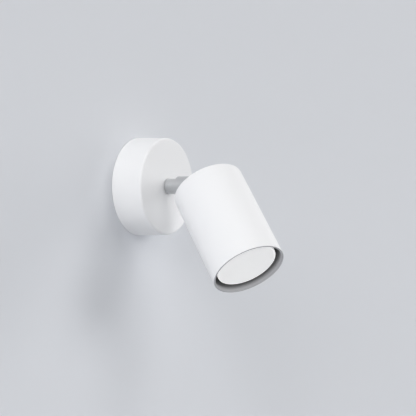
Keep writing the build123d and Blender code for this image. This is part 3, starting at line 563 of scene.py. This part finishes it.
# ---------------------------------------------------------------- lamp: ribbed housing
neck_radius = 13.5 * mm
neck_chamfer = 0.4 * mm
neck_top = neck_base + 9.0 * mm
groove_places = (2.5 * mm, 5.0 * mm)
groove_depth = 0.4 * mm
groove_floor = 0.4 * mm
groove_flank = 0.2 * mm
shoulder_radius = 16.0 * mm
waist_base = neck_top + 0.2 * mm
waist_bulge = 1.5 * mm
waist_steps = 24
rim_base = lamp_front - 11.0 * mm
rim_chamfer = 0.3 * mm
seam_depth = 0.4 * mm
seam_height = 0.5 * mm
body_steps = 72
rib_count = 36
rib_height = 0.9 * mm
rib_thickness = 1.1 * mm
rib_root = 0.3 * mm  # how far a rib reaches into the waist
rib_inset = 0.05 * mm  # how far its crest stays inside the rim
rib_steps = 16


def waist_arc(inset, steps):
    """The curve of the lamp's waist from the shoulder to the rim, moved in by a distance."""
    middle = (
        (shoulder_radius + lamp_radius) / 2 + waist_bulge - inset,
        (neck_top + rim_base) / 2 - waist_bulge,
    )
    return arc_through((shoulder_radius - inset, waist_base), middle, (lamp_radius - inset, rim_base), steps)


def make_rib_tree():
    """Repeats the mesh it is given round local Z, and gives it a material."""
    tree = bpy.data.node_groups.new("ribs_round_waist", "GeometryNodeTree")
    tree.interface.new_socket("Rib", in_out="INPUT", socket_type="NodeSocketGeometry")
    count = tree.interface.new_socket("Count", in_out="INPUT", socket_type="NodeSocketInt")
    coat = tree.interface.new_socket("Coat", in_out="INPUT", socket_type="NodeSocketMaterial")
    tree.interface.new_socket("Ribs", in_out="OUTPUT", socket_type="NodeSocketGeometry")
    entry = tree.nodes.new("NodeGroupInput")
    result = tree.nodes.new("NodeGroupOutput")
    instance = tree.nodes.new("GeometryNodeGeometryToInstance")
    copies = tree.nodes.new("GeometryNodeDuplicateElements")
    copies.domain = "INSTANCE"
    turn = tree.nodes.new("GeometryNodeRotateInstances")
    realize = tree.nodes.new("GeometryNodeRealizeInstances")
    paint = tree.nodes.new("GeometryNodeSetMaterial")
    share = calculate(tree, "DIVIDE", math.tau, (entry, "Count"))
    angle = calculate(tree, "MULTIPLY", (copies, "Duplicate Index"), share)
    rotation = tree.nodes.new("ShaderNodeCombineXYZ")
    link(tree, *angle, rotation, "Z")
    link(tree, entry, "Rib", instance, "Geometry")
    link(tree, instance, "Instances", copies, "Geometry")
    link(tree, entry, "Count", copies, "Amount")
    link(tree, copies, "Geometry", turn, "Instances")
    link(tree, rotation, "Vector", turn, "Rotation")
    link(tree, turn, "Instances", realize, "Geometry")
    link(tree, realize, "Geometry", paint, "Geometry")
    link(tree, entry, "Coat", paint, "Material")
    link(tree, paint, "Geometry", result, "Ribs")
    return tree, {"Count": count.identifier, "Coat": coat.identifier}


def rib_line(shape, inset):
    """Corners of one side of a rib, along the waist's curve moved in by a distance."""
    return [
        shape.verts.new((radius, -rib_thickness / 2, height))
        for radius, height in waist_arc(inset, rib_steps)
    ]


def make_rib():
    """One rib of the lamp's waist, which tapers to nothing at both ends."""
    shape = bmesh.new()
    root = rib_line(shape, rib_height + rib_root)
    crest = rib_line(shape, rib_inset)
    for end in (crest[0], crest[-1]):
        shape.verts.remove(end)
    crest[0], crest[-1] = root[0], root[-1]
    side = []
    for corners in zip(root, root[1:], crest[1:], crest):
        side.append(shape.faces.new(list(dict.fromkeys(corners))))  # a triangle at each end
    moved = bmesh.ops.extrude_face_region(shape, geom=side)["geom"]
    far_side = [part for part in moved if isinstance(part, bmesh.types.BMVert)]
    bmesh.ops.translate(shape, verts=far_side, vec=(0.0, rib_thickness, 0.0))
    bmesh.ops.recalc_face_normals(shape, faces=shape.faces)
    return add_piece("lamp_rib", shape, lamp_moulding)


def make_ribs():
    """The ribs of the lamp's waist, standing round local Z, as one mesh."""
    rib = make_rib()
    tree, entries = make_rib_tree()
    modifier = rib.modifiers.new("ribs", "NODES")
    modifier.node_group = tree
    modifier[entries["Count"]] = rib_count
    modifier[entries["Coat"]] = lamp_moulding
    evaluated = rib.evaluated_get(bpy.context.evaluated_depsgraph_get())
    ribs = bpy.data.meshes.new_from_object(evaluated)
    bpy.data.objects.remove(rib)
    return ribs


def groove_profile(base):
    """The points of one groove round the lamp's neck, from its lower edge up."""
    floor_radius = neck_radius - groove_depth
    floor_base = base + groove_flank
    floor_top = floor_base + groove_floor
    return [
        (neck_radius, base), (floor_radius, floor_base), (floor_radius, floor_top),
        (neck_radius, floor_top + groove_flank),
    ]


def make_lamp_housing():
    """The lamp's moulded body: a round neck, a ribbed waist and a rim with a seam under the face."""
    seam_base = diffuser_base - seam_height
    seam_radius = lamp_radius - seam_depth
    profile = [(0.0, neck_base), (neck_radius - neck_chamfer, neck_base)]
    profile += [(neck_radius, neck_base + neck_chamfer)]
    for place in groove_places:
        profile += groove_profile(neck_base + place)
    profile += [(neck_radius, waist_base)]
    profile += waist_arc(rib_height, waist_steps)
    profile += [
        (lamp_radius, rim_base + rim_chamfer), (lamp_radius, seam_base), (seam_radius, seam_base),
        (seam_radius, diffuser_base), (0.0, diffuser_base),
    ]
    shape = turned_shape(profile, body_steps)
    shape.from_mesh(make_ribs())
    return add_piece("lamp_body", shape, lamp_moulding, head_frame)


stand_for(make_lamp_housing(), "lamp", "lamp_plastic", "lamp_housing")

# ---------------------------------------------------------------- leads in their colours
up = Vector((0.0, 0.0, 1.0))
right = Vector((1.0, 0.0, 0.0))
green_direction = Vector((0.6, -0.3, 0.74)).normalized()


def middle_of(shape):
    """The mean place of a bmesh's corners."""
    return sum((corner.co for corner in shape.verts), Vector()) / len(shape.verts)


def mark_sleeve_sides(mesh):
    """Marks the two sides of a lead, for the two colours of its sleeve."""
    sides = mesh.attributes.new("sleeve_side", "FLOAT", "POINT")
    for corner, mark in zip(mesh.vertices, sides.data):
        mark.value = 1.0 if corner.normal.dot(green_direction) > 0.0 else 0.0


def colour_leads(node, body, earth_side, neutral_side):
    """Replaces a node's three leads by one piece for each colour, told apart by where they lie."""
    leads = sorted(split_bodies(copy_of_node(node)), key=lambda lead: middle_of(lead).dot(earth_side))
    earth = leads.pop()
    live, neutral = sorted(leads, key=lambda lead: middle_of(lead).dot(neutral_side))
    for lead, use, sleeve in (
        (earth, "earth", earth_sleeve), (live, "live", live_sleeve), (neutral, "neutral", neutral_sleeve),
    ):
        piece = add_piece(f"{node[:-1]}_{use}", lead, sleeve)
        if use == "earth":
            mark_sleeve_sides(piece.data)
        stand_for(piece, body, "lead_sleeve", node)


colour_leads("rose_leads", "wall_base", up, right)
colour_leads("stem_leads", "stem", up, right)
colour_leads("head_leads", "head", tilt_axis, -tilt_axis)

# ---------------------------------------------------------------- wall and floor
wall_tone = (0.776, 0.792, 0.824)
wall_gloss = 0.1
wall_bump = 0.005 * mm
wall_reach = 6.0
wall_place = -0.0002  # between the back of the plate and the rim of the rose
floor_tone = (0.62, 0.63, 0.65)
floor_drop = 0.9


def rectangle(low_across, high_across, low_up, high_up):
    """The corners of a rectangle, in order round it."""
    return (low_across, low_up), (high_across, low_up), (high_across, high_up), (low_across, high_up)


def flat_sheet(name, corners, material):
    """One face through its corners."""
    mesh = bpy.data.meshes.new(name)
    mesh.from_pydata(corners, [], [range(len(corners))])
    mesh.materials.append(material)
    sheet = bpy.data.objects.new(name, mesh)
    scene.collection.objects.link(sheet)
    return sheet


def make_wall_paint():
    """Pale blue-grey paint that is seen only from the room's side."""
    material, tree, shader = new_material("wall_paint")
    grain = place_grain(
        tree, roughness=0.9, grain_scale=500.0, tone_spread=0.004, roughness_spread=0.05, cloud_scale=3.0,
    )
    finish_from(tree, shader, grain, wall_tone, wall_bump)
    shader.inputs["Specular IOR Level"].default_value = wall_gloss
    side = tree.nodes.new("ShaderNodeNewGeometry")
    clear = tree.nodes.new("ShaderNodeBsdfTransparent")
    choice = tree.nodes.new("ShaderNodeMixShader")
    link(tree, side, "Backfacing", choice, "Fac")
    link(tree, shader, "BSDF", choice, 1)
    link(tree, clear, "BSDF", choice, 2)
    link(tree, choice, "Shader", tree.nodes["Material Output"], "Surface")
    return material


floor_paint = grained("floor_paint", floor_tone, fine_bump, roughness=0.9, grain_scale=300.0)
wall_corners = [
    (x, wall_place, z) for x, z in rectangle(-wall_reach, wall_reach, -floor_drop, wall_reach)
]
floor_corners = [
    (x, y, -floor_drop) for x, y in rectangle(-wall_reach, wall_reach, -wall_reach, wall_reach)
]
wall = flat_sheet("wall", wall_corners, make_wall_paint())
floor = flat_sheet("floor", floor_corners, floor_paint)

# ---------------------------------------------------------------- light
scene.view_settings.view_transform = "Standard"
ambient_tone = (1.0, 1.0, 1.0)
ambient_strength = 0.08
background_tone = (0.72, 0.74, 0.77)


def make_studio():
    """Little light from all round, behind a pale background that cameras and glossy surfaces see."""
    studio = bpy.data.worlds.new("studio")
    studio.use_nodes = True
    tree = studio.node_tree
    ambient = tree.nodes["Background"]
    ambient.inputs["Color"].default_value = (*ambient_tone, 1.0)
    ambient.inputs["Strength"].default_value = ambient_strength
    shown = tree.nodes.new("ShaderNodeBackground")
    shown.inputs["Color"].default_value = (*background_tone, 1.0)
    ray = tree.nodes.new("ShaderNodeLightPath")
    seen = calculate(tree, "MAXIMUM", (ray, "Is Camera Ray"), (ray, "Is Glossy Ray"))
    choice = tree.nodes.new("ShaderNodeMixShader")
    link(tree, *seen, choice, "Fac")
    link(tree, ambient, "Background", choice, 1)
    link(tree, shown, "Background", choice, 2)
    link(tree, choice, "Shader", tree.nodes["World Output"], "Surface")
    return studio


def sun(name, azimuth, elevation, strength, spread):
    """A distant soft light. Azimuth 0 is straight in front of the wall and 90 is the +X side."""
    turn, rise = math.radians(azimuth), math.radians(elevation)
    direction = Vector((
        -math.sin(turn) * math.cos(rise),
        math.cos(turn) * math.cos(rise),
        -math.sin(rise),
    ))
    lamp = bpy.data.lights.new(name, "SUN")
    lamp.energy = strength
    lamp.angle = math.radians(spread)
    piece = bpy.data.objects.new(name, lamp)
    piece.rotation_euler = direction.to_track_quat("-Z", "Y").to_euler()
    scene.collection.objects.link(piece)


scene.world = make_studio()
sun("near_side", azimuth=-85.0, elevation=28.0, strength=2.62, spread=38.0)
sun("far_side", azimuth=80.0, elevation=8.0, strength=1.58, spread=50.0)
sun("front", azimuth=22.0, elevation=20.0, strength=0.78, spread=26.0)
sun("front_high", azimuth=4.0, elevation=45.0, strength=0.40, spread=24.0)
# this one reaches only what faces the wall's far side
sun("behind_wall", azimuth=150.0, elevation=30.0, strength=0.7, spread=80.0)

# ---------------------------------------------------------------- camera
camera_azimuth = math.radians(-58.606)
camera_elevation = math.radians(0.287)
camera_distance = 1.09904
camera_target = Vector((0.045986, -0.040053, -0.018276))
camera_sensor = 36.0  # in millimetres, as the lens is
camera_lens = 109.302
camera_nearest = 0.01
towards_camera = Vector((
    math.sin(camera_azimuth) * math.cos(camera_elevation),
    -math.cos(camera_azimuth) * math.cos(camera_elevation),
    math.sin(camera_elevation),
))
camera = bpy.data.objects.new("camera", bpy.data.cameras.new("camera"))
camera.data.sensor_width = camera_sensor
camera.data.lens = camera_lens
camera.data.clip_start = camera_nearest
camera.location = camera_target + towards_camera * camera_distance
camera.rotation_mode = "QUATERNION"
camera.rotation_quaternion = (-towards_camera).to_track_quat("-Z", "Y")
scene.collection.objects.link(camera)
scene.camera = camera
